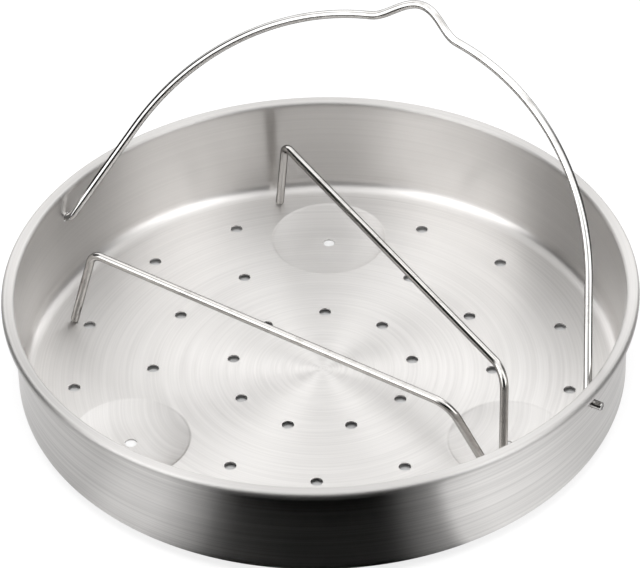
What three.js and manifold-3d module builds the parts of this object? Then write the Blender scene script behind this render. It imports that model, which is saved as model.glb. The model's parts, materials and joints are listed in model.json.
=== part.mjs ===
// Steaming insert for a pressure cooker, in millimetres, with +Z up.
// A perforated sheet pan stands on three pressed feet, a wire bail swings in two holes of its
// wall, and a loose wire trivet stands on its floor.
// z = 0 is the surface that the feet stand on, and the bail swings about an axis along X.

import * as THREE from 'three';
import { mergeVertices } from 'three/addons/utils/BufferGeometryUtils.js';
import Module from 'manifold-3d';

// Pan, drawn from one sheet
const wallRadius = 100.7; // inside of the upright wall
const sheet = 0.6; // thickness
const wallHeight = 37.1; // inner floor to the top of the rim
const floorFillet = 5; // inside radius between floor and wall
const rimReach = 3.7; // how far the rolled rim overhangs the wall
const rimBend = 0.6; // inside radius of the rim's two bends
const rimDrop = 2.4; // top of the rim to its turned-down edge

// Feet, dished down into the floor around a drain hole
const footCount = 3;
const footDepth = 2.1;
const footMouth = 18.3; // radius where the dish leaves the floor
const footFlat = 6; // radius of the flat that stands on the table
const footInset = 5.9; // edge of the flat floor to the mouth of a foot
const footTurn = -1.3; // degrees from the bail's axis to the first foot

// Punched holes, on three rings between the feet
const holeDiameter = 4;
const outerRingInset = 12.5; // edge of the flat floor to the outer ring
const ringPitch = 26.35; // from one ring to the next
const outerRingStep = 23; // degrees, from a foot to the first and on to the second hole
const outerRingHoles = 2; // on each side of a foot
const middleRingSlots = 12; // a slot that lines up with a foot stays blank
const innerRingHoles = 9;

// Bail, bent from one wire
const bailWire = 2.8; // diameter
const bailTilt = 41; // degrees from upright, as it stands
const bailLegLean = 19.2; // degrees that a leg leans inwards as it rises
const bailBend = 2.8; // centreline radius where a leg turns out through the wall
const bailWallGap = 1; // between the folded bail and the wall
const bailHump = 6.7; // height of the hump that rests on the rim
const bailHumpWidth = 33;
const bailStub = 3.3; // how far an end stands out of the wall
const pivotDrop = 10.3; // top of the rim down to the pivot axis
const pivotGap = 0.6; // between the wire and its hole, all round

// Trivet, bent from one wire into a V that stands on three legs
const trivetWire = 2.8; // diameter
const trivetHeight = 31.6; // floor to the centreline of the bars
const trivetRear = 87.2; // between the two rear corners
const trivetFront = 24.7; // between the two front corners
const trivetBend = 5; // centreline radius at the top of a rear leg
const trivetFrontBend = 9; // and at the top of a front leg
const trivetTipBend = 3.3; // centreline radius of the front foot
const trivetTipInset = 21.3; // wall to the front foot
const trivetFootInset = 2.7; // edge of the flat floor to the farther rear foot
const rearSplay = 7.9; // the rear legs lean back by this much
const rearSpread = 3.6; // and outwards by this much
const frontSplay = 9.6; // the front legs lean forwards by this much
const trivetShift = 4; // sideways from the pan's axis
const trivetTurn = -16.8; // degrees about the pan's axis
const restGap = 0.3; // between a foot of the trivet and the floor

// Fineness of the facets
const panSegments = 80;
const footSegments = 28;
const holeSegments = 14;
const wireSides = 10;
const filletSteps = 5;
const rimSteps = 3;
const dishSteps = 4;
const bendDegrees = 18; // turned by each step of a bend
const archDegrees = 6; // turned by each step of the bail's arch
const humpSteps = 8; // on each side of the hump

// Levels and radii that follow from the sizes above
const outerRadius = wallRadius + sheet;
const floorTop = footDepth + sheet;
const rimTop = floorTop + wallHeight;
const flatFloor = wallRadius - floorFillet;
const footCircle = flatFloor - footInset - footMouth;
const outerRing = flatFloor - outerRingInset;
const pivotHeight = rimTop - pivotDrop;

const radians = THREE.MathUtils.degToRad;
const wasm = await Module();
wasm.setup();

// Points of a circular arc, both ends included
function arc(x, y, radius, from, to, steps) {
  const points = [];
  for (let i = 0; i <= steps; i++) {
    const angle = radians(from + ((to - from) * i) / steps);
    points.push(new THREE.Vector2(x + radius * Math.cos(angle), y + radius * Math.sin(angle)));
  }
  return points;
}

// Body turned about +Z from a profile of radius and height
function turned(profile, segments) {
  return new THREE.LatheGeometry(profile, segments).rotateX(Math.PI / 2);
}

// Closed geometry as a solid that can be joined and cut
function toSolid(geometry) {
  geometry.deleteAttribute('normal');
  geometry.deleteAttribute('uv');
  const merged = mergeVertices(geometry);
  const corners = merged.index.array;
  const triangles = [];
  for (let i = 0; i < corners.length; i += 3) {
    const [a, b, c] = corners.slice(i, i + 3);
    const collapsed = a === b || b === c || c === a;
    if (!collapsed) triangles.push(a, b, c);
  }
  const vertProperties = merged.attributes.position.array;
  const triVerts = Uint32Array.from(triangles);
  return new wasm.Manifold(new wasm.Mesh({ numProp: 3, vertProperties, triVerts }));
}

function toGeometry(solid) {
  const mesh = solid.getMesh();
  const geometry = new THREE.BufferGeometry();
  geometry.setAttribute('position', new THREE.BufferAttribute(mesh.vertProperties, 3));
  geometry.setIndex(new THREE.BufferAttribute(mesh.triVerts, 1));
  geometry.computeVertexNormals();
  return geometry;
}

// Cross-section of the sheet: up the outside, over the rolled rim and down the inside
function panProfile() {
  const rimRound = rimBend + sheet;
  const rimOuter = outerRadius + rimReach;
  const bendHeight = rimTop - rimRound;
  const lipEdge = rimTop - rimDrop;
  const cornerHeight = floorTop + floorFillet;
  const innerBend = outerRadius + rimBend;
  const outerBend = rimOuter - rimRound;
  return [
    new THREE.Vector2(0, footDepth),
    ...arc(flatFloor, cornerHeight, floorFillet + sheet, -90, 0, filletSteps),
    ...arc(innerBend, bendHeight, rimBend, 180, 90, rimSteps),
    ...arc(outerBend, bendHeight, rimBend, 90, 0, rimSteps),
    new THREE.Vector2(rimOuter - sheet, lipEdge),
    new THREE.Vector2(rimOuter, lipEdge),
    ...arc(outerBend, bendHeight, rimRound, 0, 90, rimSteps),
    ...arc(innerBend, bendHeight, rimRound, 90, 180, rimSteps),
    ...arc(flatFloor, cornerHeight, floorFillet, 0, -90, filletSteps),
    new THREE.Vector2(0, floorTop),
  ];
}

// One face of a foot's dish, from its flat up to half a sheet above the floor's matching face
function dishProfile(radius, lowest) {
  const rise = footDepth + sheet / 2;
  const sweep = Math.acos(1 - rise / radius);
  const points = [new THREE.Vector2(0, lowest)];
  for (let i = 0; i <= dishSteps; i++) {
    const angle = (sweep * i) / dishSteps;
    const reach = footFlat + radius * Math.sin(angle);
    points.push(new THREE.Vector2(reach, lowest + radius * (1 - Math.cos(angle))));
  }
  points.push(new THREE.Vector2(0, lowest + rise));
  return points;
}

// Centres of all the punched holes, the drain holes of the feet among them
function holeCentres() {
  const centres = [];
  const add = (radius, degrees) => {
    const angle = radians(degrees + footTurn);
    centres.push([radius * Math.cos(angle), radius * Math.sin(angle)]);
  };
  const footStep = 360 / footCount;
  for (let i = 0; i < innerRingHoles; i++) add(outerRing - 2 * ringPitch, (i * 360) / innerRingHoles);
  for (let i = 0; i < middleRingSlots; i++) {
    const degrees = (i * 360) / middleRingSlots;
    if (degrees % footStep !== 0) add(outerRing - ringPitch, degrees);
  }
  for (let foot = 0; foot < footCount; foot++) {
    add(footCircle, foot * footStep);
    for (let i = 1; i <= outerRingHoles; i++) {
      add(outerRing, foot * footStep + i * outerRingStep);
      add(outerRing, foot * footStep - i * outerRingStep);
    }
  }
  return centres;
}

function panGeometry() {
  const dishWidth = footMouth - footFlat;
  const dishRadius = (dishWidth ** 2 + footDepth ** 2) / (2 * footDepth);
  let pan = toSolid(turned(panProfile(), panSegments));
  const hollows = [];
  for (let foot = 0; foot < footCount; foot++) {
    const angle = radians((foot * 360) / footCount + footTurn);
    const place = [footCircle * Math.cos(angle), footCircle * Math.sin(angle), 0];
    const bulge = turned(dishProfile(dishRadius + sheet, 0), footSegments);
    pan = pan.add(toSolid(bulge.translate(...place)));
    hollows.push(toSolid(turned(dishProfile(dishRadius, sheet), footSegments).translate(...place)));
  }
  for (const hollow of hollows) pan = pan.subtract(hollow);
  for (const [x, y] of holeCentres()) {
    const radius = holeDiameter / 2;
    const punch = new THREE.CylinderGeometry(radius, radius, 4 * floorTop, holeSegments);
    pan = pan.subtract(toSolid(punch.rotateX(Math.PI / 2).translate(x, y, 0)));
  }
  const pivotRadius = bailWire / 2 + pivotGap;
  const pivotLength = 2 * (outerRadius + rimReach);
  const pivot = new THREE.CylinderGeometry(pivotRadius, pivotRadius, pivotLength, holeSegments);
  return toGeometry(pan.subtract(toSolid(pivot.rotateZ(Math.PI / 2).translate(0, 0, pivotHeight))));
}

// Centreline through given points, with one ring of the wire at each of them
class WireLine extends THREE.Curve {
  constructor(points) {
    super();
    this.points = points;
  }

  getPointAt(u) {
    return this.points[Math.round(u * (this.points.length - 1))].clone();
  }

  getTangentAt(u) {
    const i = Math.round(u * (this.points.length - 1));
    const here = this.points[i];
    const before = this.points[i - 1] ?? here;
    const after = this.points[i + 1] ?? here;
    const arriving = here.clone().sub(before).normalize();
    const leaving = after.clone().sub(here).normalize();
    return arriving.add(leaving).normalize();
  }
}

function wireGeometry(points, diameter) {
  const section = new THREE.Shape(arc(0, 0, diameter / 2, 0, 360, wireSides).slice(0, wireSides));
  const extrudePath = new WireLine(points);
  return new THREE.ExtrudeGeometry(section, { steps: points.length - 1, extrudePath });
}

// Half of the bail, from the middle of the hump to the cut end, in its own plane: x across, z up
function bailHalf() {
  const lean = radians(bailLegLean);
  const bendTurn = 90 - bailLegLean;
  const corner = outerRadius - bailBend * Math.tan(radians(bendTurn / 2));
  const archTop = wallRadius - bailWire / 2 - bailWallGap;
  const archRadius = (corner * Math.cos(lean) - archTop * Math.sin(lean)) / (1 - Math.sin(lean));
  const archCentre = archTop - archRadius;
  const humpTurn = bailHumpWidth / 2 / archRadius;
  const points = [];
  const addArch = (turn) => {
    const wave = turn < humpTurn ? (1 + Math.cos((Math.PI * turn) / humpTurn)) / 2 : 0;
    const reach = archRadius + bailHump * wave;
    points.push(new THREE.Vector3(reach * Math.sin(turn), 0, archCentre + reach * Math.cos(turn)));
  };
  for (let i = 0; i < humpSteps; i++) addArch((humpTurn * i) / humpSteps);
  const archTurn = Math.PI / 2 - lean - humpTurn;
  const archSteps = Math.ceil(archTurn / radians(archDegrees));
  for (let i = 0; i <= archSteps; i++) addArch(humpTurn + (archTurn * i) / archSteps);
  const bendSteps = Math.ceil(bendTurn / bendDegrees);
  for (const { x, y } of arc(outerRadius, bailBend, bailBend, -90 - bendTurn, -90, bendSteps)) {
    points.push(new THREE.Vector3(x, 0, y));
  }
  points.push(new THREE.Vector3(outerRadius + bailStub, 0, 0));
  return points;
}

function bailGeometry() {
  const right = bailHalf();
  const left = right.slice(1).map((p) => new THREE.Vector3(-p.x, p.y, p.z));
  return wireGeometry([...left.reverse(), ...right], bailWire);
}

// Line through corner points, with each inner corner rounded to its own radius
function roundedLine(corners, radii) {
  const points = [corners[0]];
  for (let i = 1; i < corners.length - 1; i++) {
    const corner = corners[i];
    const radius = radii[i - 1];
    const arriving = corner.clone().sub(corners[i - 1]).normalize();
    const leaving = corners[i + 1].clone().sub(corner).normalize();
    const turn = arriving.angleTo(leaving);
    const cut = radius * Math.tan(turn / 2);
    const inwards = leaving.clone().sub(arriving).normalize();
    const centre = corner.clone().addScaledVector(inwards, radius / Math.cos(turn / 2));
    const first = corner.clone().addScaledVector(arriving, -cut).sub(centre);
    const last = corner.clone().addScaledVector(leaving, cut).sub(centre);
    const steps = Math.ceil(turn / radians(bendDegrees));
    for (let k = 0; k <= steps; k++) {
      const angle = (turn * k) / steps;
      const point = centre.clone().addScaledVector(first, Math.sin(turn - angle) / Math.sin(turn));
      points.push(point.addScaledVector(last, Math.sin(angle) / Math.sin(turn)));
    }
  }
  points.push(corners.at(-1));
  return points;
}

// Trivet seen from the pan's floor: x along its axis towards the front foot, z up from the floor
function trivetGeometry() {
  const wireRadius = trivetWire / 2;
  const footSpread = trivetRear / 2 + rearSpread;
  const farFoot = flatFloor - trivetFootInset;
  const rearFootX = -Math.sqrt(farFoot ** 2 - (footSpread + trivetShift) ** 2);
  const rearX = rearFootX + rearSplay;
  const rearLean = Math.atan2(Math.hypot(rearSplay, rearSpread), trivetHeight);
  const rearFootZ = restGap + wireRadius * Math.sin(rearLean);

  // The front legs close in on the round bend of the front foot, and meet below it if drawn on
  const frontX = wallRadius - trivetTipInset - frontSplay;
  const tipFall = trivetHeight - restGap - wireRadius;
  const tipLength = Math.hypot(frontSplay, tipFall);
  const bendCentre = tipLength - trivetTipBend;
  const frontHalf = trivetFront / 2;
  const closing = Math.atan2(frontHalf, bendCentre)
    - Math.asin(trivetTipBend / Math.hypot(frontHalf, bendCentre));
  const meeting = frontHalf / Math.tan(closing) / tipLength;
  const tip = new THREE.Vector3(
    frontX + frontSplay * meeting, trivetShift, trivetHeight - tipFall * meeting);

  const side = (sign) => [
    new THREE.Vector3(rearFootX, trivetShift + sign * footSpread, rearFootZ),
    new THREE.Vector3(rearX, trivetShift + (sign * trivetRear) / 2, trivetHeight),
    new THREE.Vector3(frontX, trivetShift + sign * frontHalf, trivetHeight),
  ];
  const corners = [...side(1), tip, ...side(-1).reverse()];
  const radii = [trivetBend, trivetFrontBend, trivetTipBend, trivetFrontBend, trivetBend];
  return wireGeometry(roundedLine(corners, radii), trivetWire);
}

const brushedSteel = new THREE.MeshStandardMaterial({ color: 0xc8c7c4, metalness: 1, roughness: 0.38 });
const bailSteel = new THREE.MeshStandardMaterial({ color: 0xdcdcda, metalness: 1, roughness: 0.14 });
const trivetSteel = new THREE.MeshStandardMaterial({ color: 0xd6d5d2, metalness: 1, roughness: 0.18 });

const pan = new THREE.Mesh(panGeometry(), brushedSteel);
pan.name = 'perforated_pan';

const bail = new THREE.Mesh(bailGeometry(), bailSteel);
bail.name = 'bail_handle';
bail.position.z = pivotHeight;
bail.rotation.x = radians(-bailTilt);

const trivet = new THREE.Mesh(trivetGeometry(), trivetSteel);
trivet.name = 'wire_trivet';
trivet.position.z = floorTop;
trivet.rotation.z = radians(trivetTurn);

const steamingInsert = new THREE.Group();
steamingInsert.add(pan, bail, trivet);

export default steamingInsert;
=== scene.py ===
"""Steaming insert of a pressure cooker: a perforated sheet pan, its wire bail and a loose wire trivet.

Everything is in metres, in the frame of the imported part: +Z up along the pan's axis, X along the pivot
of the bail, and z = 0 where the three feet stand.
"""

import json
import math

import bmesh
import bpy
from bpy.props import FloatProperty, FloatVectorProperty, IntProperty, PointerProperty
from mathutils import Matrix, Vector


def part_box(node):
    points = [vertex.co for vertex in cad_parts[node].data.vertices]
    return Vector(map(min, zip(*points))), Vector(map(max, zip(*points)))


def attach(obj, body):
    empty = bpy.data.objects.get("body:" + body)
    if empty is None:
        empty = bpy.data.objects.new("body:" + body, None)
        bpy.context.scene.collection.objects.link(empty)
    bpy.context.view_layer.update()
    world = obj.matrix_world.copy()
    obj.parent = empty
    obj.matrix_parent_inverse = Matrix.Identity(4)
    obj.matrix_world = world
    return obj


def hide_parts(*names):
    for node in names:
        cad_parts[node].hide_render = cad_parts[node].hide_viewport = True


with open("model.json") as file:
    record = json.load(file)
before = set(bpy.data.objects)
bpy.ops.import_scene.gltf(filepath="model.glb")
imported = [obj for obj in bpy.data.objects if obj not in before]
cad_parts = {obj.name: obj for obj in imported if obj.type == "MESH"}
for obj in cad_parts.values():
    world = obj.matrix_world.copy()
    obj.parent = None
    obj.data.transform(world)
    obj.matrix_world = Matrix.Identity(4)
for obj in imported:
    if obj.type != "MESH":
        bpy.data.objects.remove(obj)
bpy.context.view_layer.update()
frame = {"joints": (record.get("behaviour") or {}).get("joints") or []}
PAN_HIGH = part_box("perforated_pan")[1]
PIVOT = next(joint for joint in frame["joints"] if joint["name"] == "bail_swing")["pos_m"]

bl_info = {
    "name": "Steaming insert",
    "version": (1, 0, 0),
    "blender": (4, 5, 0),
    "location": "View3D > Sidebar > Steaming insert",
    "description": "Models and dresses the steaming insert of a pressure cooker",
    "category": "Add Mesh",
}

ON_RING = 2e-5  # a corner this near to a circle belongs to it
SAME_CORNER = 5e-6  # corners this near are merged
CUT_EDGE = math.radians(60)  # an edge that turns this far is a cut one, and is rounded
SMOOTH_EDGE = math.radians(35)  # an edge that turns less than this is shaded smooth
AREA_WEIGHT = 100  # shading follows the larger faces as far as it can
FOOT_COUNT = 3
SCREEN_SEGMENTS = 96
MATT_ROUGHNESS = 0.9
CARD_BLACK = (0.002, 0.002, 0.002)
WHITE = (1, 1, 1)
ACROSS = 0.25  # of a turn, which stretches a highlight across the brushing

# What the metal mirrors around it, as (degrees from the camera round to its right, share).
TENT_LIGHT = (
    (-180, 0.62), (-165, 0.66), (-142, 0.92), (-120, 0.26), (-100, 0.28), (-84, 1.0), (-44, 1.0),
    (-18, 0.28), (26, 0.28), (50, 1.0), (68, 1.0), (95, 0.38), (120, 0.36), (142, 0.90), (165, 0.66),
    (180, 0.62))
PANEL_COVER = (
    (-180, 0), (-150, 0), (-128, 0.96), (-96, 0.96), (-82, 0), (-44, 0), (-20, 0.98), (26, 0.98),
    (48, 0), (72, 0), (100, 0.80), (122, 0.80), (136, 0), (180, 0))
FAN_COVER = (
    (-180, 0.22), (-130, 0.18), (-100, 0.16), (-82, 0.28), (-66, 0.38), (-56, 0.45), (-47, 0.27),
    (-38, 0.32), (-30, 0.68), (-24, 0.95), (-20, 1.0), (12, 1.0), (15, 0.98), (20, 0.87), (25, 0.76),
    (28, 0.25), (36, 0.06), (50, 0.14), (64, 0.30), (85, 0.30), (130, 0.25), (180, 0.22))


def length(name, description, default):
    """A size in metres."""
    return FloatProperty(name=name, description=description, default=default, precision=5, unit="LENGTH")


def angle(name, description, degrees):
    """An angle, given in degrees and kept in radians."""
    return FloatProperty(name=name, description=description, default=math.radians(degrees), subtype="ANGLE")


def colour(name, description, default):
    """A linear colour."""
    return FloatVectorProperty(name=name, description=description, default=default, size=3, subtype="COLOR")


def share(name, description, default):
    """A number from 0 to 1."""
    return FloatProperty(
        name=name, description=description, default=default, min=0, max=1, subtype="FACTOR")


def amount(name, description, default, unit="NONE"):
    """A number that is neither a length, an angle nor a share."""
    return FloatProperty(name=name, description=description, default=default, unit=unit)


def count(name, description, default):
    """A whole number."""
    return IntProperty(name=name, description=description, default=default)


class PanSizes(bpy.types.PropertyGroup):
    """Sizes of the pan, drawn from one sheet"""

    wall_radius: length("Wall radius", "Inside of the upright wall", 0.1007)
    sheet: length("Sheet", "Thickness of the sheet", 0.0006)
    floor_fillet: length("Floor fillet", "Inside radius between floor and wall", 0.005)
    rim_radius: length("Rim radius", "Outside of the rolled rim", PAN_HIGH.x)
    rim_top: length("Rim top", "Height of the rim", PAN_HIGH.z)
    rim_round: length("Rim round", "Outside radius of the rim's two bends", 0.0012)
    rim_drop: length("Rim drop", "Top of the rim to its turned-down edge", 0.0024)
    foot_depth: length("Foot depth", "How far a foot is pressed below the floor", 0.0021)
    foot_mouth: length("Foot mouth", "Radius where the dish of a foot leaves the floor", 0.0183)
    foot_flat: length("Foot flat", "Radius of the flat that stands on the table", 0.006)
    foot_crease: length("Foot crease", "Radius of the soft edge around a foot", 0.002)
    foot_root: length("Foot root", "Radius where the edge of a foot runs into its dish", 0.0035)
    foot_edge: angle("Foot edge", "Steepest slope at the edge of a foot", 23)
    foot_circle: length("Foot circle", "Radius of the circle that the feet lie on", 0.0715)
    foot_turn: angle("Foot turn", "From the bail's axis to the first foot", -1.3)
    foot_collar: length("Foot collar", "Level ring around a foot, out of which it is pressed", 0.0004)
    hole_diameter: length("Hole diameter", "Punched holes and drain holes", 0.004)
    outer_ring: length("Outer ring", "Radius of the outer ring of holes", 0.0832)
    ring_pitch: length("Ring pitch", "From one ring of holes to the next", 0.02635)
    outer_step: angle("Outer step", "From a foot to the first and on to the second outer hole", 23)
    pivot_hole: length("Pivot hole", "Diameter of the bail's holes in the wall", 0.0034)
    centre_mark: length("Centre mark", "Radius of the small dimple in the middle of the floor", 0.0005)
    mark_bottom: length("Mark bottom", "Radius of the bottom of the dimple", 0.000167)
    mark_depth: length("Mark depth", "Depth of the dimple", 0.000125)
    edge_round: length("Edge round", "Rounding of the cut edges of the sheet", 0.0001)


class BailSizes(bpy.types.PropertyGroup):
    """Sizes of the bail, bent from one wire"""

    wire: length("Wire", "Diameter of the wire", 0.0028)
    end_round: length("End round", "Rounding of the wire's cut ends", 0.00035)
    tilt: angle("Tilt", "From upright, as it stands", 41)
    leg_lean: angle("Leg lean", "How far a leg leans inwards as it rises", 19.2)
    bend: length("Bend", "Centreline radius where a leg turns out through the wall", 0.0028)
    wall_gap: length("Wall gap", "Between the folded bail and the wall", 0.001)
    hump: length("Hump", "Height of the hump in the middle of the arch", 0.0067)
    hump_width: length("Hump width", "Width of the hump along the arch", 0.033)
    stub: length("Stub", "How far an end stands out of the wall", 0.0033)


class TrivetSizes(bpy.types.PropertyGroup):
    """Sizes of the trivet, bent from one wire"""

    wire: length("Wire", "Diameter of the wire", 0.0028)
    end_round: length("End round", "Rounding of the wire's cut ends", 0.00035)
    height: length("Height", "Floor to the centreline of the bars", 0.0316)
    rear: length("Rear", "Between the two rear corners", 0.0872)
    front: length("Front", "Between the two front corners", 0.0247)
    bend: length("Bend", "Centreline radius at the top of a rear leg", 0.005)
    front_bend: length("Front bend", "Centreline radius at the top of a front leg", 0.009)
    tip_bend: length("Tip bend", "Centreline radius of the front foot", 0.0033)
    tip_inset: length("Tip inset", "Wall to the front foot", 0.0213)
    foot_inset: length("Foot inset", "Edge of the flat floor to the farther rear foot", 0.0027)
    rear_splay: length("Rear splay", "How far the rear legs lean back", 0.0079)
    rear_spread: length("Rear spread", "How far the rear legs lean outwards", 0.0036)
    front_splay: length("Front splay", "How far the front legs lean forwards", 0.0096)
    shift: length("Shift", "Sideways from the pan's axis", 0.004)
    turn: angle("Turn", "About the pan's axis", -16.8)
    rest_gap: length("Rest gap", "Between a foot and the floor", 0.0003)


class SteelLooks(bpy.types.PropertyGroup):
    """Colours and finishes of the steels"""

    sheet_light: colour("Sheet, light", "Lightest lines of the floor and the rim", (0.745, 0.73, 0.715))
    sheet_dark: colour("Sheet, dark", "Darkest lines of the floor and the rim", (0.695, 0.681, 0.667))
    wall_light: colour("Wall, light", "Lightest streaks of the wall", (0.80, 0.784, 0.769))
    wall_dark: colour("Wall, dark", "Darkest streaks of the wall", (0.675, 0.661, 0.648))
    floor_smooth: share("Floor, smooth", "Least roughness of the brushed floor", 0.42)
    floor_rough: share("Floor, rough", "Most roughness of the brushed floor", 0.47)
    wall_smooth: share("Wall, smooth", "Least roughness of the brushed wall", 0.285)
    wall_rough: share("Wall, rough", "Most roughness of the brushed wall", 0.295)
    inner_calm: share("Inner calm", "How far the streaks fade on the inside of the wall", 0.78)
    # Painted shade: the rim's top is darkened in its colour to hold its reflection of the open light down
    # to the floor's brightness.
    rim_painted_shade: share("Rim painted shade", "Brightness of the rim as a share of the sheet's", 0.86)
    wall_finish: share("Wall finish", "Share of the fillet below the wall's full finish", 0.3)
    sheet_grain: share("Sheet grain", "How much the brushing stretches a highlight", 0.9)
    brush_lines: amount("Brush lines", "Lines of the brushing in a metre", 1800)
    brush_breaks: amount("Brush breaks", "How much the lines change around the pan", 1.2)
    brush_strength: share("Brush strength", "How much the brushing tilts what the sheet mirrors", 0.06)
    brush_depth: length("Brush depth", "Depth of the brushing", 0.0001)
    bail_steel: colour("Bail steel", "Polished wire of the bail", (0.68, 0.672, 0.66))
    bail_smooth: share("Bail, smooth", "Roughness of the bail's clean places", 0.06)
    bail_rough: share("Bail, rough", "Roughness of the bail's stained places", 0.10)
    trivet_steel: colour("Trivet steel", "Polished wire of the trivet", (0.60, 0.586, 0.568))
    trivet_smooth: share("Trivet, smooth", "Roughness of the trivet's clean places", 0.13)
    trivet_rough: share("Trivet, rough", "Roughness of the trivet's stained places", 0.19)
    # Painted shade: an edge tint that darkens the wires' reflection where they turn away.
    wire_edge_painted_shade: colour("Wire edge painted shade", "Tint of the wires where they turn away", (0.1, 0.1, 0.1))
    stain: colour("Stain", "Faint stain on the wires", (0.42, 0.405, 0.385))
    stain_scale: amount("Stain scale", "Stains in a metre of wire", 160)
    stain_detail: amount("Stain detail", "How often a stain breaks up into finer ones", 4)
    stain_break: share("Stain break", "Strength of each finer stain against the one before", 0.65)
    stain_full: share("Stain, full", "Level of the noise up to which a place is stained", 0.25)
    stain_none: share("Stain, none", "Level of the noise from which a place is clean", 0.5)


class StageLooks(bpy.types.PropertyGroup):
    """Camera, floor and light"""

    view_turn: angle("View turn", "Turn of the camera about the pan's axis", 31.5)
    view_rise: angle("View rise", "Elevation of the camera", 39.826)
    view_distance: length("View distance", "Camera to the middle of the floor", 1.29781)
    view_lift: angle("View lift", "How far the camera aims above the middle", 1.2594)
    view_roll: angle("View roll", "Turn of the camera about its own axis", -1.5424)
    lens: amount("Lens", "Focal length in millimetres", 217.75, "CAMERA")
    view_centre: length("View centre", "Height of the middle that the view is set from", 0.0027)
    floor_colour: colour("Floor colour", "Plain pale floor, under the pan", (0.75, 0.75, 0.75))
    floor_open: colour(
        "Open floor", "Plain pale floor, where its glow makes up for the rest", (0.24, 0.24, 0.24))
    floor_glow: amount("Floor glow", "Lifts the open floor to white", 0.78)
    floor_size: length("Floor size", "Side of the floor", 8)
    glow_start: length("Glow start", "How far inside the rim's edge the floor begins to glow", 0.0165)
    glow_full: length("Glow full", "How far inside the rim's edge it glows in full", 0.0105)
    tent_radius: length("Tent radius", "Radius of the screen around the object", 0.6)
    tent_rise: angle("Tent rise", "Elevation of the screen's upper edge", 60)
    tent_light: amount("Tent light", "Light of the screen's brightest parts", 2.3)
    fan_radius: length("Fan radius", "Radius of the dark card on the floor and of the dark panels", 0.5)
    fan_height: length("Fan height", "Height of the dark card on the floor", 0.0003)
    fan_open: length("Fan open", "Radius within which the dark card lets white through", 0.22)
    fan_closed: length("Fan closed", "Radius beyond which it lets nothing through", 0.30)
    panel_rise: angle("Panel rise", "Elevation of the upper edge of the dark panels", 46)
    skirt_rise: angle("Skirt rise", "Elevation of the dark strip along the foot of the screen", 14)
    lamp_distance: length("Lamp distance", "Middle of the floor to a lamp", 1.5)
    soft_size: length("Soft size", "Side of the overhead lamp", 1.5)
    soft_power: amount("Soft power", "Power of the overhead lamp", 4, "POWER")
    key_rise: angle("Key rise", "Elevation of the lamp that lights the floor, above the camera", 66)
    key_size: length("Key size", "Side of the lamp that lights the floor", 0.5)
    key_power: amount("Key power", "Power of the lamp that lights the floor", 9, "POWER")


class Build(bpy.types.PropertyGroup):
    """Fineness of the meshes"""

    pan_segments: count("Pan segments", "Steps around the pan", 256)
    foot_segments: count("Foot segments", "Steps around a foot", 96)
    hole_segments: count("Hole segments", "Steps around a hole", 40)
    fillet_steps: count("Fillet steps", "Steps of the fillet between floor and wall", 14)
    wall_steps: count("Wall steps", "Steps up the wall", 6)
    rim_steps: count("Rim steps", "Steps of each bend of the rim", 8)
    crease_steps: count("Crease steps", "Steps of the soft edge around a foot", 6)
    root_steps: count("Root steps", "Steps from that edge into the dish of the foot", 5)
    dish_steps: count("Dish steps", "Steps of the dish of a foot", 14)
    edge_steps: count("Edge steps", "Steps of a rounded edge of the sheet", 2)
    hump_steps: count("Hump steps", "Steps of one half of the bail's hump", 16)
    arch_step: angle("Arch step", "Turn of each step of the bail's arch", 2)
    bend_step: angle("Bend step", "Turn of each step of a bend", 6)
    end_steps: count("End steps", "Steps of a rounded end of a wire", 3)
    wire_resolution: count("Wire resolution", "Roundness of the wires", 6)


def deselect():
    """Leaves nothing selected, so that the next operator acts on its own piece alone."""
    bpy.ops.object.select_all(action="DESELECT")


def named(name):
    """The object that was just added, under its name."""
    piece = bpy.context.active_object
    piece.name = name
    piece.data.name = name
    return piece


def apply_modifier(piece, kind, **settings):
    """Adds one modifier with its settings and applies it."""
    bpy.ops.object.modifier_add(type=kind)
    modifier = piece.modifiers[-1]
    for key, value in settings.items():
        setattr(modifier, key, value)
    bpy.ops.object.modifier_apply(modifier=modifier.name)


def finish_piece(piece, body, node, material):
    """Smooths a piece, gives it its steel, and sets it on the body whose node it stands for."""
    bpy.ops.object.shade_smooth_by_angle(angle=SMOOTH_EDGE)
    apply_modifier(piece, "WEIGHTED_NORMAL", keep_sharp=True, weight=AREA_WEIGHT)
    piece.data.materials.clear()
    piece.data.materials.append(material)
    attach(piece, body)
    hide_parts(node)


def arc(centre, radius, start, end, steps):
    """Points of (radius, height) along an arc, without its first point, angles in degrees."""
    points = []
    for i in range(1, steps + 1):
        turn = math.radians(start + (end - start) * i / steps)
        points.append((centre[0] + radius * math.cos(turn), centre[1] + radius * math.sin(turn)))
    return points


def select_ring(piece, centre, radius):
    """Selects the open edges that lie on a circle about an upright axis."""
    bpy.ops.mesh.select_all(action="DESELECT")
    mesh = bmesh.from_edit_mesh(piece.data)
    for edge in mesh.edges:
        on_ring = all(abs((corner.co.xy - centre.xy).length - radius) < ON_RING for corner in edge.verts)
        if edge.is_boundary and on_ring:
            edge.select_set(True)
    bmesh.update_edit_mesh(piece.data)


def pull_ring(centre, start, profile):
    """Extrudes the selected ring through a profile of (radius, height) about an upright axis."""
    radius, height = start
    for next_radius, next_height in profile:
        rise = (0, 0, next_height - height)
        bpy.ops.mesh.extrude_edges_move(TRANSFORM_OT_translate={"value": rise})
        factor = next_radius / radius
        bpy.ops.transform.resize(value=(factor, factor, 1), center_override=centre)
        radius, height = next_radius, next_height


def on_circle(radius, turn, height):
    """A point on a circle about the pan's axis."""
    return Vector((radius * math.cos(turn), radius * math.sin(turn), height))


def foot_turns(pan):
    """Turns of the feet about the pan's axis."""
    return [pan.foot_turn + math.tau * foot / FOOT_COUNT for foot in range(FOOT_COUNT)]


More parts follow.
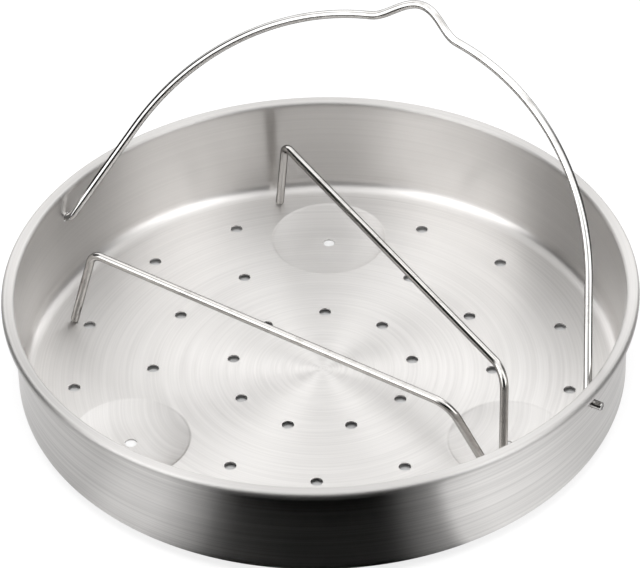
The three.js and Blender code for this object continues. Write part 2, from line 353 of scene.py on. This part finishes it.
def hole_centres(pan, floor_top):
    """Centres of the punched holes, on three rings between the feet."""
    inner_holes = 9
    middle_slots = 12
    slots_per_foot = middle_slots // FOOT_COUNT
    centres = []
    for i in range(inner_holes):
        turn = pan.foot_turn + math.tau * i / inner_holes
        centres.append(on_circle(pan.outer_ring - 2 * pan.ring_pitch, turn, floor_top))
    for i in range(middle_slots):
        if i % slots_per_foot:
            turn = pan.foot_turn + math.tau * i / middle_slots
            centres.append(on_circle(pan.outer_ring - pan.ring_pitch, turn, floor_top))
    for foot in foot_turns(pan):
        for step in (-2, -1, 1, 2):
            centres.append(on_circle(pan.outer_ring, foot + step * pan.outer_step, floor_top))
    return centres


def wall_profile(pan, build, floor_top, flat_floor):
    """Inside of the sheet from the edge of the floor, up the wall and over the rolled rim."""
    corner = (flat_floor, floor_top + pan.floor_fillet)
    bend_height = pan.rim_top - pan.rim_round
    inner_bend = (pan.wall_radius + pan.rim_round, bend_height)
    outer_bend = (pan.rim_radius - pan.rim_round, bend_height)
    wall_start = corner[1]
    wall = [(pan.wall_radius, wall_start + (bend_height - wall_start) * i / build.wall_steps)
            for i in range(1, build.wall_steps + 1)]
    return [
        *arc(corner, pan.floor_fillet, -90, 0, build.fillet_steps),
        *wall,
        *arc(inner_bend, pan.rim_round, 180, 90, build.rim_steps),
        (outer_bend[0], pan.rim_top),
        *arc(outer_bend, pan.rim_round, 90, 0, build.rim_steps),
        (pan.rim_radius, pan.rim_top - pan.rim_drop),
    ]


def dish_slope(pan):
    """Slope of a foot where its pressed edge has turned into its dish."""
    edge_sine = math.sin(pan.foot_edge)
    edge_cosine = math.cos(pan.foot_edge)
    mouth = pan.foot_mouth + pan.foot_crease
    slope = pan.foot_edge
    rounds = 8
    # Each round fits the dish to what the edge leaves it, and settles on the slope that both share.
    for _ in range(rounds):
        edge_fall = pan.foot_crease * (1 - edge_cosine) + pan.foot_root * (math.cos(slope) - edge_cosine)
        edge_run = pan.foot_crease * edge_sine + pan.foot_root * (edge_sine - math.sin(slope))
        slope = 2 * math.atan2(pan.foot_depth - edge_fall, mouth - pan.foot_flat - edge_run)
    return slope


def dish_profile(pan, build, floor_top):
    """Inside of a foot: a pressed edge, a dish like a watch glass, and the flat around the drain hole."""
    edge = math.degrees(pan.foot_edge)
    slope = dish_slope(pan)
    dish_start = math.degrees(slope) - 90
    mouth = pan.foot_mouth + pan.foot_crease
    crease = (mouth, floor_top - pan.foot_crease)
    edge_end = (mouth - pan.foot_crease * math.sin(pan.foot_edge),
                crease[1] + pan.foot_crease * math.cos(pan.foot_edge))
    root = (edge_end[0] - pan.foot_root * math.sin(pan.foot_edge),
            edge_end[1] + pan.foot_root * math.cos(pan.foot_edge))
    root_end = root[0] + pan.foot_root * math.sin(slope)
    dish_radius = (root_end - pan.foot_flat) / math.sin(slope)
    bottom = (pan.foot_flat, floor_top - pan.foot_depth + dish_radius)
    return [
        (mouth, floor_top),
        *arc(crease, pan.foot_crease, 90, 90 + edge, build.crease_steps),
        *arc(root, pan.foot_root, edge - 90, dish_start, build.root_steps),
        *arc(bottom, dish_radius, dish_start, -90, build.dish_steps),
        (pan.hole_diameter / 2, floor_top - pan.foot_depth),
    ]


def add_circle(segments, radius, centre):
    """Adds a circle to the mesh that is being edited."""
    bpy.ops.mesh.primitive_circle_add(vertices=segments, radius=radius, location=centre)


def punch_pivots(piece, pan, build):
    """Cuts both holes for the bail with one punch that reaches right across the pan."""
    deselect()
    bpy.ops.mesh.primitive_cylinder_add(
        vertices=build.hole_segments, radius=pan.pivot_hole / 2,
        depth=2 * (pan.rim_radius + pan.pivot_hole), location=PIVOT, rotation=(0, math.pi / 2, 0))
    punch = named("pivot_punch")
    deselect()
    piece.select_set(True)
    bpy.context.view_layer.objects.active = piece
    apply_modifier(piece, "BOOLEAN", operation="DIFFERENCE", solver="EXACT", object=punch)
    bpy.data.objects.remove(punch, do_unlink=True)


class STEAMER_OT_pan(bpy.types.Operator):
    """Draws the perforated pan out of one sheet"""

    bl_idname = "steamer.pan"
    bl_label = "Perforated pan"

    def execute(self, context):
        pan = context.scene.steamer_pan
        build = context.scene.steamer_build
        floor_top = pan.foot_depth + pan.sheet
        flat_floor = pan.wall_radius - pan.floor_fillet
        middle = Vector((0, 0, floor_top))
        feet = [on_circle(pan.foot_circle, turn, floor_top) for turn in foot_turns(pan)]
        dish = dish_profile(pan, build, floor_top)
        collar = dish[0][0] + pan.foot_collar

        deselect()
        bpy.ops.mesh.primitive_circle_add(vertices=build.pan_segments, radius=flat_floor)
        piece = named("pan_sheet")
        bpy.ops.object.mode_set(mode="EDIT")
        context.tool_settings.mesh_select_mode = (False, True, False)
        bpy.ops.transform.translate(value=middle)
        for centre in hole_centres(pan, floor_top):
            add_circle(build.hole_segments, pan.hole_diameter / 2, centre)
        for centre in feet:
            add_circle(build.foot_segments, collar, centre)
        add_circle(build.hole_segments, pan.centre_mark, middle)
        bpy.ops.mesh.select_all(action="SELECT")
        bpy.ops.mesh.fill(use_beauty=True)

        for centre in feet:
            select_ring(piece, centre, collar)
            pull_ring(centre, (collar, floor_top), dish)
        select_ring(piece, middle, pan.centre_mark)
        pull_ring(middle, (pan.centre_mark, floor_top), [(pan.mark_bottom, floor_top - pan.mark_depth)])
        bpy.ops.mesh.edge_face_add()
        select_ring(piece, middle, flat_floor)
        pull_ring(middle, (flat_floor, floor_top), wall_profile(pan, build, floor_top, flat_floor))

        bpy.ops.mesh.select_all(action="SELECT")
        bpy.ops.mesh.normals_make_consistent(inside=False)
        faces = bmesh.from_edit_mesh(piece.data).faces
        floor_face = min(faces, key=lambda face: (face.calc_center_median() - middle).length)
        if floor_face.normal.z < 0:
            bpy.ops.mesh.flip_normals()
        bpy.ops.object.mode_set(mode="OBJECT")
        apply_modifier(piece, "SOLIDIFY", thickness=pan.sheet, offset=-1, use_even_offset=True)
        punch_pivots(piece, pan, build)
        apply_modifier(
            piece, "BEVEL", width=pan.edge_round, segments=build.edge_steps, limit_method="ANGLE",
            angle_limit=CUT_EDGE)
        material = brushed_sheet(context.scene.steamer_steel, pan)
        finish_piece(piece, "pan", "perforated_pan", material)
        return {"FINISHED"}


def draw_wire(name, line, sizes, build):
    """A round wire along a line of points, its two cut ends slightly rounded."""
    deselect()
    bpy.ops.mesh.primitive_plane_add(size=sizes.wire)
    named(name)
    bpy.ops.object.mode_set(mode="EDIT")
    bpy.context.tool_settings.mesh_select_mode = (True, False, False)
    bpy.ops.mesh.merge(type="CENTER")
    bpy.ops.transform.translate(value=line[0])
    for here, there in zip(line, line[1:]):
        bpy.ops.mesh.extrude_vertices_move(TRANSFORM_OT_translate={"value": there - here})
    bpy.ops.object.mode_set(mode="OBJECT")
    bpy.ops.object.convert(target="CURVE")
    wire = bpy.context.active_object.data
    wire.bevel_depth = sizes.wire / 2
    wire.bevel_resolution = build.wire_resolution
    wire.use_fill_caps = True
    bpy.ops.object.convert(target="MESH")
    piece = named(name)
    bpy.ops.object.mode_set(mode="EDIT")
    bpy.context.tool_settings.mesh_select_mode = (False, True, False)
    bpy.ops.mesh.select_all(action="SELECT")
    bpy.ops.mesh.remove_doubles(threshold=SAME_CORNER)
    bpy.ops.mesh.normals_make_consistent(inside=False)
    bpy.ops.mesh.select_all(action="DESELECT")
    bpy.ops.mesh.edges_select_sharp(sharpness=CUT_EDGE)
    bpy.ops.mesh.bevel(offset=sizes.end_round, segments=build.end_steps)
    bpy.ops.object.mode_set(mode="OBJECT")
    return piece


def bail_line(pan, bail, build):
    """Centreline of the bail, in its own plane: x across and z up from the pivot."""
    outer = pan.wall_radius + pan.sheet
    leg_rise = math.pi / 2 - bail.leg_lean
    corner = outer - bail.bend * math.tan(leg_rise / 2)
    arch_top = pan.wall_radius - bail.wire / 2 - bail.wall_gap
    lean_sine = math.sin(bail.leg_lean)
    arch_radius = (corner * math.cos(bail.leg_lean) - arch_top * lean_sine) / (1 - lean_sine)
    hump_turn = bail.hump_width / 2 / arch_radius
    arch_steps = math.ceil(leg_rise / build.arch_step)
    turns = [hump_turn * i / build.hump_steps for i in range(build.hump_steps)]
    turns += [hump_turn + (leg_rise - hump_turn) * i / arch_steps for i in range(arch_steps + 1)]
    half = []
    for turn in turns:
        wave = (1 + math.cos(math.pi * turn / hump_turn)) / 2 if turn < hump_turn else 0
        reach = arch_radius + bail.hump * wave
        half.append(Vector((reach * math.sin(turn), 0, arch_top - arch_radius + reach * math.cos(turn))))
    bend_steps = math.ceil(leg_rise / build.bend_step)
    start = -90 - math.degrees(leg_rise)
    half += [Vector((x, 0, z)) for x, z in arc((outer, bail.bend), bail.bend, start, -90, bend_steps)]
    half.append(Vector((outer + bail.stub, 0, 0)))
    return [Vector((-point.x, 0, point.z)) for point in reversed(half[1:])] + half


class STEAMER_OT_bail(bpy.types.Operator):
    """Bends the bail out of one wire"""

    bl_idname = "steamer.bail"
    bl_label = "Bail handle"

    def execute(self, context):
        scene = context.scene
        bail = scene.steamer_bail
        steel = scene.steamer_steel
        lean = Matrix.Translation(PIVOT) @ Matrix.Rotation(-bail.tilt, 4, "X")
        line = [lean @ point for point in bail_line(scene.steamer_pan, bail, scene.steamer_build)]
        piece = draw_wire("bail_wire", line, bail, scene.steamer_build)
        material = polished_wire(
            "bail_wire", steel, steel.bail_steel, steel.bail_smooth, steel.bail_rough)
        finish_piece(piece, "bail", "bail_handle", material)
        return {"FINISHED"}


def rounded_line(corners, radii, bend_step):
    """A line through corner points, each inner corner rounded to its own radius."""
    points = [corners[0]]
    for before, corner, after, radius in zip(corners, corners[1:], corners[2:], radii):
        arriving = (corner - before).normalized()
        leaving = (after - corner).normalized()
        turn = arriving.angle(leaving)
        cut = radius * math.tan(turn / 2)
        centre = corner + (leaving - arriving).normalized() * (radius / math.cos(turn / 2))
        first = corner - arriving * cut - centre
        last = corner + leaving * cut - centre
        steps = math.ceil(turn / bend_step)
        for i in range(steps + 1):
            swept = turn * i / steps
            points.append(
                centre + (first * math.sin(turn - swept) + last * math.sin(swept)) / math.sin(turn))
    points.append(corners[-1])
    return points


def trivet_line(pan, trivet, bend_step):
    """Centreline of the trivet on the pan's floor: x towards the front foot, z up from the floor."""
    wire_radius = trivet.wire / 2
    foot_spread = trivet.rear / 2 + trivet.rear_spread
    far_foot = pan.wall_radius - pan.floor_fillet - trivet.foot_inset
    rear_foot = -math.sqrt(far_foot ** 2 - (foot_spread + trivet.shift) ** 2)
    lean = math.atan2(math.hypot(trivet.rear_splay, trivet.rear_spread), trivet.height)
    rear_foot_height = trivet.rest_gap + wire_radius * math.sin(lean)

    front_x = pan.wall_radius - trivet.tip_inset - trivet.front_splay
    tip_fall = trivet.height - trivet.rest_gap - wire_radius
    tip_length = math.hypot(trivet.front_splay, tip_fall)
    bend_centre = tip_length - trivet.tip_bend
    front_half = trivet.front / 2
    closing = math.atan2(front_half, bend_centre)
    closing -= math.asin(trivet.tip_bend / math.hypot(front_half, bend_centre))
    meeting = front_half / math.tan(closing) / tip_length
    tip = Vector((
        front_x + trivet.front_splay * meeting, trivet.shift, trivet.height - tip_fall * meeting))

    def side(sign):
        return [
            Vector((rear_foot, trivet.shift + sign * foot_spread, rear_foot_height)),
            Vector((rear_foot + trivet.rear_splay, trivet.shift + sign * trivet.rear / 2, trivet.height)),
            Vector((front_x, trivet.shift + sign * front_half, trivet.height)),
        ]

    corners = [*side(1), tip, *reversed(side(-1))]
    radii = [trivet.bend, trivet.front_bend, trivet.tip_bend, trivet.front_bend, trivet.bend]
    return rounded_line(corners, radii, bend_step)


class STEAMER_OT_trivet(bpy.types.Operator):
    """Bends the trivet out of one wire and stands it on the floor of the pan"""

    bl_idname = "steamer.trivet"
    bl_label = "Wire trivet"

    def execute(self, context):
        scene = context.scene
        pan = scene.steamer_pan
        trivet = scene.steamer_trivet
        steel = scene.steamer_steel
        floor_top = pan.foot_depth + pan.sheet
        place = Matrix.Translation((0, 0, floor_top)) @ Matrix.Rotation(trivet.turn, 4, "Z")
        line = [place @ point for point in trivet_line(pan, trivet, scene.steamer_build.bend_step)]
        piece = draw_wire("trivet_wire", line, trivet, scene.steamer_build)
        material = polished_wire(
            "trivet_wire", steel, steel.trivet_steel, steel.trivet_smooth, steel.trivet_rough)
        finish_piece(piece, "trivet", "wire_trivet", material)
        return {"FINISHED"}


def add_node(tree, kind, **settings):
    """A node with its settings; a setting that names an input socket sets its value."""
    node = tree.nodes.new(kind)
    for key, value in settings.items():
        if hasattr(node, key):
            setattr(node, key, value)
        else:
            node.inputs[key].default_value = value
    return node


def give(tree, value, socket):
    """Gives an input its value, which is a number, a colour or another node's output."""
    if isinstance(value, bpy.types.NodeSocket):
        tree.links.new(value, socket)
    else:
        socket.default_value = value


def opaque(tone):
    """A colour as a socket takes it, with nothing showing through."""
    return (*tone, 1)


def object_place(tree):
    """Where a point lies on its piece."""
    return add_node(tree, "ShaderNodeTexCoord").outputs["Object"]


def separated(tree, vector):
    """The three parts of a vector."""
    node = add_node(tree, "ShaderNodeSeparateXYZ")
    tree.links.new(vector, node.inputs[0])
    return node.outputs


def combined(tree, *parts):
    """A vector from its first parts, with the rest 0."""
    node = add_node(tree, "ShaderNodeCombineXYZ")
    for part, socket in zip(parts, node.inputs):
        tree.links.new(part, socket)
    return node.outputs[0]


def vector_math(tree, operation, vector):
    """A Vector Math node with its first vector given."""
    node = add_node(tree, "ShaderNodeVectorMath", operation=operation)
    tree.links.new(vector, node.inputs[0])
    return node


def calculated(tree, operation, *terms, clamped=False):
    """What a Math node makes of its terms, each a number or a socket."""
    node = add_node(tree, "ShaderNodeMath", operation=operation, use_clamp=clamped)
    for term, socket in zip(terms, node.inputs):
        give(tree, term, socket)
    return node.outputs[0]


def share_between(tree, value, low, high, course="LINEAR"):
    """A share that runs from 0 to 1 while a value runs from low to high."""
    node = add_node(tree, "ShaderNodeMapRange", interpolation_type=course)
    node.inputs["From Min"].default_value = low
    node.inputs["From Max"].default_value = high
    tree.links.new(value, node.inputs["Value"])
    return node.outputs["Result"]


def ranged(tree, value, start, end):
    """A value from 0 to 1, mapped onto a range."""
    node = add_node(tree, "ShaderNodeMapRange")
    node.inputs["To Min"].default_value = start
    node.inputs["To Max"].default_value = end
    tree.links.new(value, node.inputs["Value"])
    return node.outputs["Result"]


def mixed(tree, mask, first, second):
    """A colour that a mask runs from the first to the second, each a colour or a socket."""
    mix = add_node(tree, "ShaderNodeMix", data_type="RGBA")
    ends = [socket for socket in mix.inputs if socket.type == "RGBA"]
    for end, given in zip(ends, (first, second)):
        give(tree, given, end)
    tree.links.new(mask, mix.inputs["Factor"])
    return next(socket for socket in mix.outputs if socket.type == "RGBA")


def blended(tree, mask, first, second):
    """A value that a mask runs from the first socket to the second."""
    mix = add_node(tree, "ShaderNodeMix", data_type="FLOAT")
    tree.links.new(mask, mix.inputs["Factor"])
    tree.links.new(first, mix.inputs["A"])
    tree.links.new(second, mix.inputs["B"])
    return mix.outputs["Result"]


def greys(tree, value, stops):
    """A grey that follows a value, from stops of (value, grey) in rising order."""
    ramp = add_node(tree, "ShaderNodeValToRGB")
    tree.links.new(value, ramp.inputs["Fac"])
    steps = ramp.color_ramp.elements
    steps[0].position = stops[0][0]
    steps[1].position = stops[-1][0]
    for position, _ in stops[1:-1]:
        steps.new(position)
    for step, (_, grey) in zip(steps, stops):
        step.color = (grey, grey, grey, 1)
    return ramp.outputs["Color"]


def by_height(tree, height, stops):
    """A share that changes with height, from stops of (height, share) in rising order."""
    top = stops[-1][0]
    rise = calculated(tree, "DIVIDE", height, top)
    return greys(tree, rise, [(level / top, grey) for level, grey in stops])


def circular_brushing():
    """Node group of brushing that runs around the pan's axis, on floor, wall and rim alike."""
    name = "Circular brushing"
    if name in bpy.data.node_groups:
        return bpy.data.node_groups[name]
    group = bpy.data.node_groups.new(name, "ShaderNodeTree")
    for setting in ("Lines per metre", "Breaks per turn"):
        group.interface.new_socket(setting, in_out="INPUT", socket_type="NodeSocketFloat")
    for pattern in ("Height", "Shade", "Streak", "Radius"):
        group.interface.new_socket(pattern, in_out="OUTPUT", socket_type="NodeSocketFloat")
    given = group.nodes.new("NodeGroupInput").outputs
    result = group.nodes.new("NodeGroupOutput").inputs

    x, y, z = separated(group, object_place(group))
    flat = combined(group, x, y)
    radius = vector_math(group, "LENGTH", flat).outputs["Value"]
    along = calculated(group, "ADD", radius, z)
    lines = calculated(group, "MULTIPLY", along, given["Lines per metre"])
    heading = vector_math(group, "NORMALIZE", flat).outputs["Vector"]
    around = vector_math(group, "SCALE", heading)
    group.links.new(given["Breaks per turn"], around.inputs["Scale"])
    around_x, around_y, _ = separated(group, around.outputs["Vector"])

    def brushed(line_share):
        """Noise drawn out around the axis, at a share of the lines per metre."""
        across = calculated(group, "MULTIPLY", lines, line_share)
        noise = add_node(group, "ShaderNodeTexNoise", Scale=1.0, Detail=0.0)
        group.links.new(combined(group, across, around_x, around_y), noise.inputs["Vector"])
        return noise.outputs[0]

    def overlaid(first, second, weight, spread):
        """The first lines with some of the second, from 0 to 1 within a spread about their mean."""
        both = calculated(group, "MULTIPLY_ADD", second, weight, first)
        mean = (1 + weight) / 2
        return share_between(group, both, mean - spread, mean + spread)

    fine = brushed(line_share=1.0)
    broad = brushed(line_share=0.4)
    streaks = brushed(line_share=0.9)
    bands = brushed(line_share=0.45)
    group.links.new(fine, result["Height"])
    group.links.new(overlaid(fine, broad, weight=0.5, spread=0.3), result["Shade"])
    group.links.new(overlaid(streaks, bands, weight=0.6, spread=0.25), result["Streak"])
    group.links.new(radius, result["Radius"])
    return group


def new_material(name):
    """A new material with its tree and its shader."""
    material = bpy.data.materials.new(name)
    material.use_nodes = True
    return material, material.node_tree, material.node_tree.nodes["Principled BSDF"]


def metal(name):
    """A new metal material with its tree and its shader."""
    material, tree, shader = new_material(name)
    shader.inputs["Metallic"].default_value = 1
    return material, tree, shader


def brushed_sheet(steel, pan):
    """Stainless sheet brushed around the pan's axis, smoother and streakier on the wall, with painted shade
    on the top of the rim.
    """
    material, tree, shader = metal("pan_steel")
    brushing = add_node(tree, "ShaderNodeGroup", node_tree=circular_brushing())
    brushing.inputs["Lines per metre"].default_value = steel.brush_lines
    brushing.inputs["Breaks per turn"].default_value = steel.brush_breaks
    shade = brushing.outputs["Shade"]
    outside = share_between(tree, brushing.outputs["Radius"], pan.wall_radius, pan.wall_radius + pan.sheet)
    calm = ranged(tree, brushing.outputs["Streak"], steel.inner_calm / 2, 1 - steel.inner_calm / 2)
    streak = blended(tree, outside, calm, brushing.outputs["Streak"])

    height = separated(tree, object_place(tree))["Z"]
    floor_top = pan.foot_depth + pan.sheet
    wall_start = floor_top + steel.wall_finish * pan.floor_fillet
    rim_start = pan.rim_top - pan.rim_drop
    rim_flat = pan.rim_top - pan.rim_round / 2
    upright = by_height(tree, height, ((floor_top, 0), (wall_start, 1), (rim_start, 1), (rim_flat, 0)))
    # Painted shade: the rim's colour darkens towards its flat top, to hold down the brighter light that it
    # mirrors.
    rim = by_height(tree, height, ((rim_start, 1), (rim_flat, steel.rim_painted_shade)))

    sheet = mixed(
        tree, upright, mixed(tree, shade, opaque(steel.sheet_dark), opaque(steel.sheet_light)),
        mixed(tree, streak, opaque(steel.wall_dark), opaque(steel.wall_light)))
    tone = vector_math(tree, "MULTIPLY", sheet)
    tree.links.new(rim, tone.inputs[1])
    tree.links.new(tone.outputs[0], shader.inputs["Base Color"])
    roughness = blended(
        tree, upright, ranged(tree, shade, steel.floor_rough, steel.floor_smooth),
        ranged(tree, streak, steel.wall_rough, steel.wall_smooth))
    tree.links.new(roughness, shader.inputs["Roughness"])
    bump = add_node(tree, "ShaderNodeBump", Strength=steel.brush_strength, Distance=steel.brush_depth)
    tree.links.new(brushing.outputs["Height"], bump.inputs["Height"])
    tree.links.new(bump.outputs["Normal"], shader.inputs["Normal"])
    shader.inputs["Anisotropic"].default_value = steel.sheet_grain
    shader.inputs["Anisotropic Rotation"].default_value = ACROSS
    grain = add_node(tree, "ShaderNodeTangent", direction_type="RADIAL", axis="Z")
    tree.links.new(grain.outputs["Tangent"], shader.inputs["Tangent"])
    return material


def polished_wire(name, steel, tone, smooth, rough):
    """Drawn and polished wire, with a faint uneven stain, and painted shade along its edges where it turns
    away.
    """
    material, tree, shader = metal(name)
    noise = add_node(
        tree, "ShaderNodeTexNoise", Scale=steel.stain_scale, Detail=steel.stain_detail,
        Roughness=steel.stain_break)
    tree.links.new(object_place(tree), noise.inputs["Vector"])
    clean = share_between(tree, noise.outputs[0], steel.stain_full, steel.stain_none)
    tree.links.new(mixed(tree, clean, opaque(steel.stain), opaque(tone)), shader.inputs["Base Color"])
    # A near-black edge tint: painted shade that darkens the wires where they turn away, standing in for
    # dark surroundings in their reflection.
    shader.inputs["Specular Tint"].default_value = opaque(steel.wire_edge_painted_shade)
    tree.links.new(ranged(tree, clean, rough, smooth), shader.inputs["Roughness"])
    return material


def matt(name, base):
    """A new matt material with its tree and its shader."""
    material, tree, shader = new_material(name)
    shader.inputs["Base Color"].default_value = opaque(base)
    shader.inputs["Roughness"].default_value = MATT_ROUGHNESS
    shader.inputs["Specular IOR Level"].default_value = 0
    return material, tree, shader


def outward(tree, start, end):
    """A share that rises smoothly from the middle of a card outwards, between two radii."""
    reach = vector_math(tree, "LENGTH", object_place(tree)).outputs["Value"]
    return share_between(tree, reach, start, end, "SMOOTHSTEP")


def pale_floor(stage):
    """Floor that is white to the camera and in reflections, and keeps the object's shadow."""
    material, tree, shader = matt("pale_floor", stage.floor_colour)
    shader.inputs["Emission Color"].default_value = opaque(WHITE)
    path = add_node(tree, "ShaderNodeLightPath").outputs
    seen = calculated(tree, "ADD", path["Is Camera Ray"], path["Is Glossy Ray"], clamped=True)
    seen = calculated(tree, "ADD", seen, path["Is Transmission Ray"], clamped=True)
    outside = outward(tree, PAN_HIGH.x - stage.glow_start, PAN_HIGH.x - stage.glow_full)
    tree.links.new(
        mixed(tree, outside, opaque(stage.floor_colour), opaque(stage.floor_open)),
        shader.inputs["Base Color"])
    glow = calculated(tree, "MULTIPLY", seen, calculated(tree, "MULTIPLY", outside, stage.floor_glow))
    tree.links.new(glow, shader.inputs["Emission Strength"])
    return material


def grey_around(tree, stops):
    """A grey that runs around the object, from stops of (degrees from the camera to its right, grey)."""
    heading = add_node(tree, "ShaderNodeTexGradient", gradient_type="RADIAL")
    tree.links.new(object_place(tree), heading.inputs["Vector"])
    return greys(tree, heading.outputs["Fac"], [(0.5 + degrees / 360, grey) for degrees, grey in stops])


def tent_cloth(stage):
    """Screen that the metal mirrors, with darker and lighter panels."""
    material, tree, shader = matt("tent_cloth", (0, 0, 0))
    tree.links.new(grey_around(tree, TENT_LIGHT), shader.inputs["Emission Color"])
    shader.inputs["Emission Strength"].default_value = stage.tent_light
    material.cycles.emission_sampling = "NONE"
    return material


def dark_card(name):
    """A dark card, with its tree and its shader."""
    return matt(name, CARD_BLACK)


def dark_panels():
    """Dark panels inside the screen, on the camera's side and to its left and right."""
    material, tree, shader = dark_card("dark_panels")
    tree.links.new(grey_around(tree, PANEL_COVER), shader.inputs["Alpha"])
    return material


def dark_fan(stage):
    """Dark card on the floor that lets white through near the pan, most of it away from the camera."""
    material, tree, shader = dark_card("dark_fan")
    far = outward(tree, stage.fan_open, stage.fan_closed)
    cover = calculated(tree, "MAXIMUM", grey_around(tree, FAN_COVER), far)
    tree.links.new(cover, shader.inputs["Alpha"])
    return material


def studio_world():
    """Even white light from all round."""
    world = bpy.data.worlds.new("studio")
    bpy.context.scene.world = world
    world.use_nodes = True
    world.node_tree.nodes["Background"].inputs["Color"].default_value = opaque(WHITE)
    world.cycles.sampling_method = "NONE"


def mirrored_only(card, stage, material):
    """Turns a card to the camera and lets only the metal's reflections see it."""
    card.rotation_euler.z = stage.view_turn - math.pi / 2
    card.data.materials.append(material)
    card.visible_camera = False
    card.visible_diffuse = False
    card.visible_shadow = False


def add_screen(name, stage, radius, rise, material):
    """An upright round screen about the object, up to an elevation as seen from its middle."""
    height = radius * math.tan(rise)
    bpy.ops.mesh.primitive_cylinder_add(
        vertices=SCREEN_SEGMENTS, radius=radius, depth=height, end_fill_type="NOTHING",
        location=(0, 0, height / 2))
    mirrored_only(named(name), stage, material)


def camera_side(stage, distance, rise):
    """A place on the camera's side, at a distance and an elevation from the middle of the floor."""
    level = distance * math.cos(rise)
    return Matrix.Rotation(stage.view_turn, 4, "Z") @ Vector((0, -level, distance * math.sin(rise)))


def add_lamp(name, stage, rise, size, power):
    """A square lamp on the camera's side that shines on the middle of the floor."""
    bpy.ops.object.light_add(
        type="AREA", location=camera_side(stage, stage.lamp_distance, rise),
        rotation=(math.pi / 2 - rise, 0, stage.view_turn))
    lamp = named(name)
    lamp.data.size = size
    lamp.data.energy = power
    return lamp


class STEAMER_OT_stage(bpy.types.Operator):
    """Sets the floor, the light and the camera"""

    bl_idname = "steamer.stage"
    bl_label = "Stage"

    def execute(self, context):
        stage = context.scene.steamer_stage
        context.scene.view_settings.view_transform = "Standard"
        studio_world()

        deselect()
        bpy.ops.mesh.primitive_plane_add(size=stage.floor_size)
        floor = named("floor")
        floor.data.materials.append(pale_floor(stage))

        add_screen("tent", stage, stage.tent_radius, stage.tent_rise, tent_cloth(stage))
        add_screen("panels", stage, stage.fan_radius, stage.panel_rise, dark_panels())
        add_screen("skirt", stage, stage.fan_radius, stage.skirt_rise, dark_card("dark_skirt")[0])
        bpy.ops.mesh.primitive_circle_add(
            vertices=SCREEN_SEGMENTS, radius=stage.fan_radius, fill_type="NGON",
            location=(0, 0, stage.fan_height))
        mirrored_only(named("fan"), stage, dark_fan(stage))

        add_lamp("soft_lamp", stage, math.pi / 2, stage.soft_size, stage.soft_power)
        key = add_lamp("key_lamp", stage, stage.key_rise, stage.key_size, stage.key_power)
        key.visible_glossy = False

        middle = Vector((0, 0, stage.view_centre))
        place = middle + camera_side(stage, stage.view_distance, stage.view_rise)
        tilt = math.pi / 2 - stage.view_rise + stage.view_lift
        turn = (Matrix.Rotation(stage.view_turn, 3, "Z") @ Matrix.Rotation(tilt, 3, "X")
                @ Matrix.Rotation(stage.view_roll, 3, "Z"))
        bpy.ops.object.camera_add(location=place, rotation=turn.to_euler())
        camera = named("camera")
        camera.data.lens = stage.lens
        context.scene.camera = camera
        return {"FINISHED"}


class STEAMER_PT_panel(bpy.types.Panel):
    """Lists the stage and the pieces of the steaming insert"""

    bl_label = "Steaming insert"
    bl_idname = "STEAMER_PT_panel"
    bl_space_type = "VIEW_3D"
    bl_region_type = "UI"
    bl_category = "Steaming insert"

    def draw(self, context):
        for operator in OPERATORS:
            self.layout.operator(operator.bl_idname)


SETTINGS = {
    "steamer_pan": PanSizes,
    "steamer_bail": BailSizes,
    "steamer_trivet": TrivetSizes,
    "steamer_steel": SteelLooks,
    "steamer_stage": StageLooks,
    "steamer_build": Build,
}
OPERATORS = (STEAMER_OT_stage, STEAMER_OT_pan, STEAMER_OT_bail, STEAMER_OT_trivet)


def register():
    """Brings in the settings, the operators and the panel."""
    for name, group in SETTINGS.items():
        bpy.utils.register_class(group)
        setattr(bpy.types.Scene, name, PointerProperty(type=group))
    for kind in (*OPERATORS, STEAMER_PT_panel):
        bpy.utils.register_class(kind)


def unregister():
    """Takes the panel, the operators and the settings away."""
    for kind in (STEAMER_PT_panel, *reversed(OPERATORS)):
        bpy.utils.unregister_class(kind)
    for name, group in SETTINGS.items():
        delattr(bpy.types.Scene, name)
        bpy.utils.unregister_class(group)


def main():
    """Builds the stage and the pieces."""
    register()
    bpy.ops.steamer.stage()
    bpy.ops.steamer.pan()
    bpy.ops.steamer.bail()
    bpy.ops.steamer.trivet()


if __name__ == "__main__":
    main()
